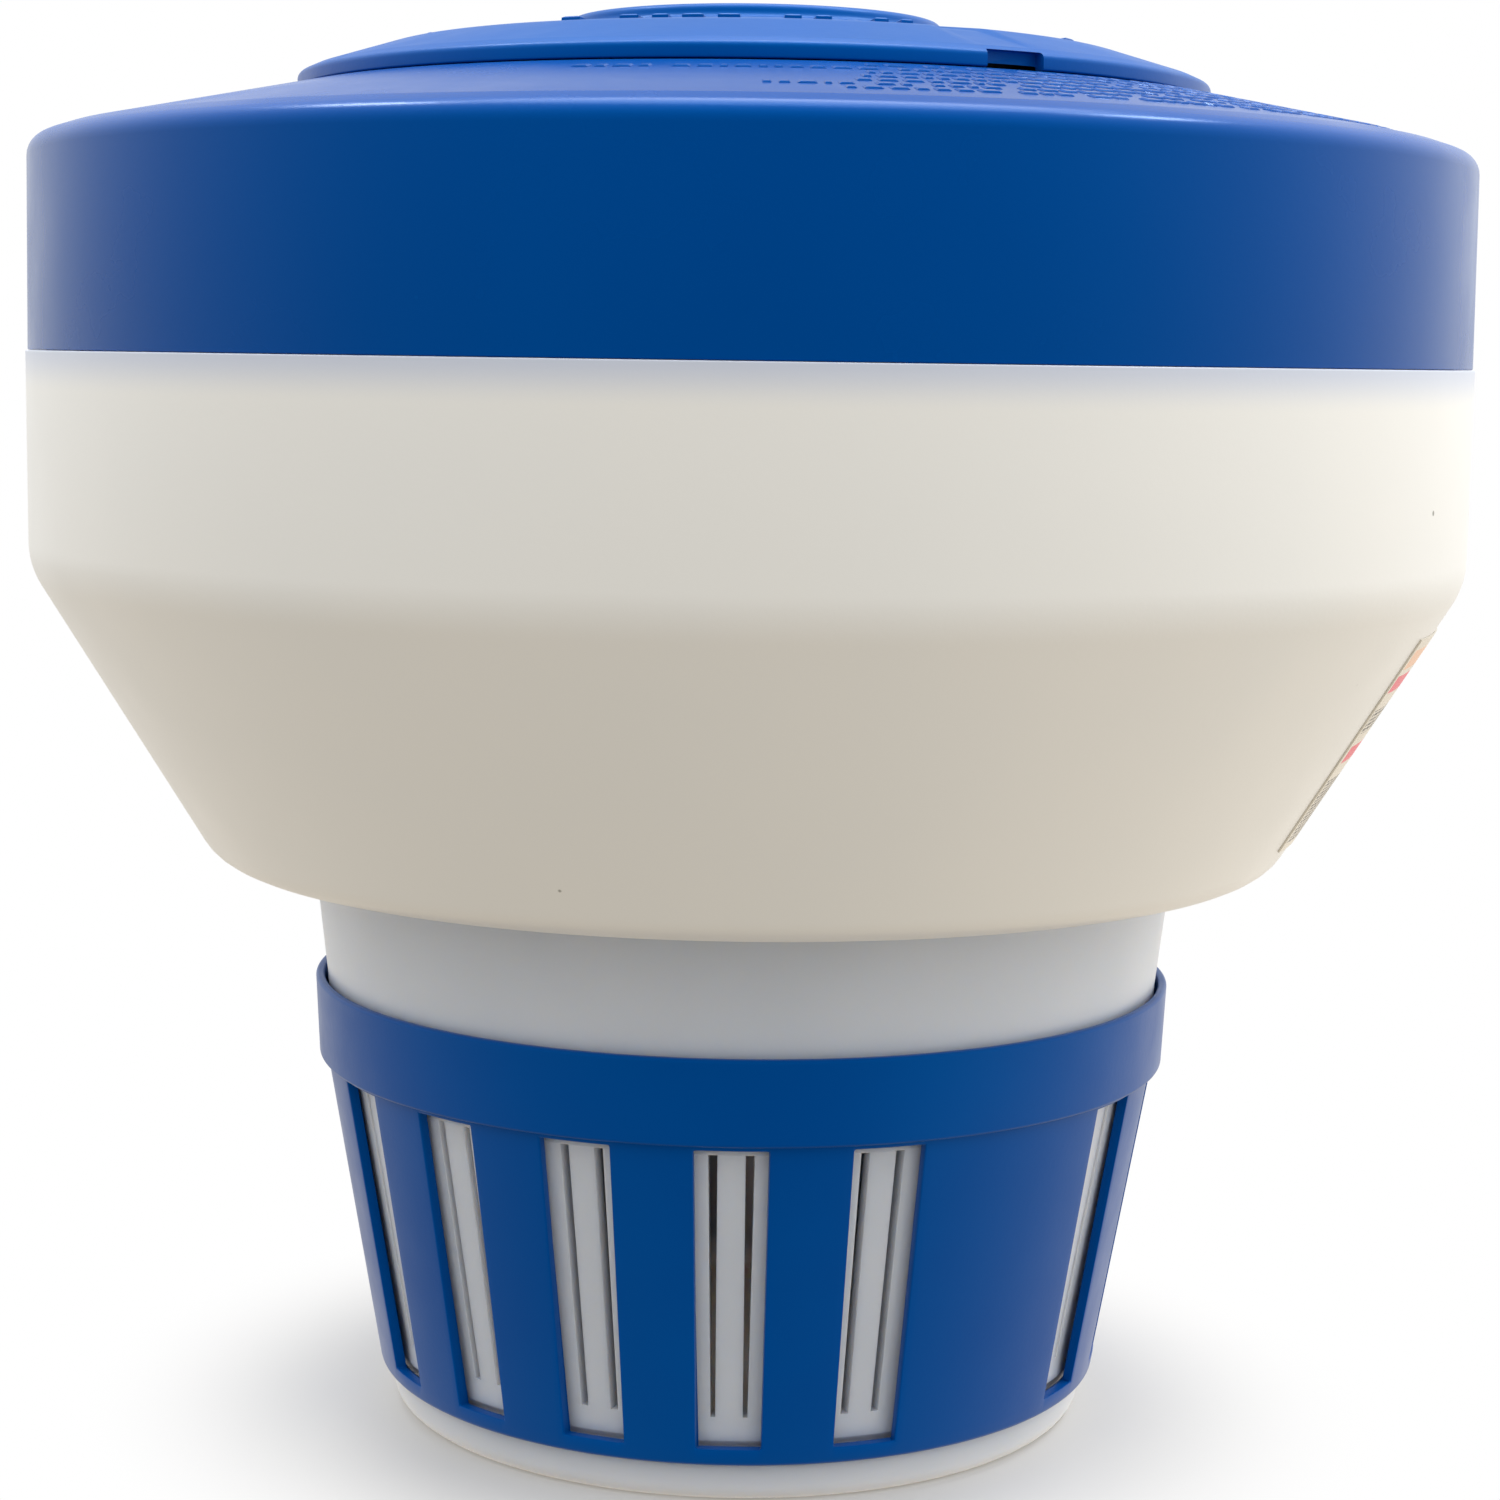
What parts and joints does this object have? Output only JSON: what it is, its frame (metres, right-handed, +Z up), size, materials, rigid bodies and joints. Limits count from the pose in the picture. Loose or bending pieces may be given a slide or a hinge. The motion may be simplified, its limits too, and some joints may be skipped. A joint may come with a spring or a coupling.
{
  "type": "floating chlorine dispenser",
  "caption": "Round floating pool chlorine dispenser: blue domed lid and cover over a white conical float, with a tapered tablet canister inside a windowed flow ring below.",
  "frame": {"origin": "centre of the canister's flat underside, which is the lowest face", "axes": "+Z up along the axis that every piece is turned about, -Y towards the front of the flow ring, +X towards the label"},
  "size_m": [0.2006, 0.2002, 0.1953],
  "materials": {
    "float_shell": "satin moulded polypropylene, warm white",
    "top_cover": "semi-gloss moulded plastic, blue",
    "lid": "semi-gloss moulded plastic, blue",
    "lid_gasket": "matt rubber",
    "canister": "satin moulded polypropylene, cool white, slightly translucent",
    "canister_seal": "matt rubber",
    "flow_ring": "semi-gloss moulded plastic, blue",
    "label": "printed film"
  },
  "bodies": {
    "housing": {"float_shell": "float_shell", "top_cover": "top_cover", "canister": "canister", "canister_seal": "canister_seal", "label": "label"},
    "flow_ring": {"flow_ring": "flow_ring"},
    "lid_gasket": {"lid_gasket": "lid_gasket"},
    "lid": {"lid": "lid"}
  },
  "joints": [
    {"name": "flow_adjust", "type": "hinge", "parent": "housing", "child": "flow_ring", "pos_m": [0, 0, 0.03], "axis": [0, 0, 1], "range_deg": [0, 10]},
    {"name": "lid_lift", "type": "slide", "parent": "housing", "child": "lid_gasket", "axis": [0, 0, 1], "range_m": [0, 0.0721]},
    {"name": "lid_turn", "type": "hinge", "parent": "lid_gasket", "child": "lid", "pos_m": [0, 0, 0.184], "axis": [0, 0, 1], "range_deg": [0, 360]}
  ],
  "couplings": [
    {"joint": "lid_lift", "follows": "lid_turn", "m_per_rad": 0.011459}
  ]
}
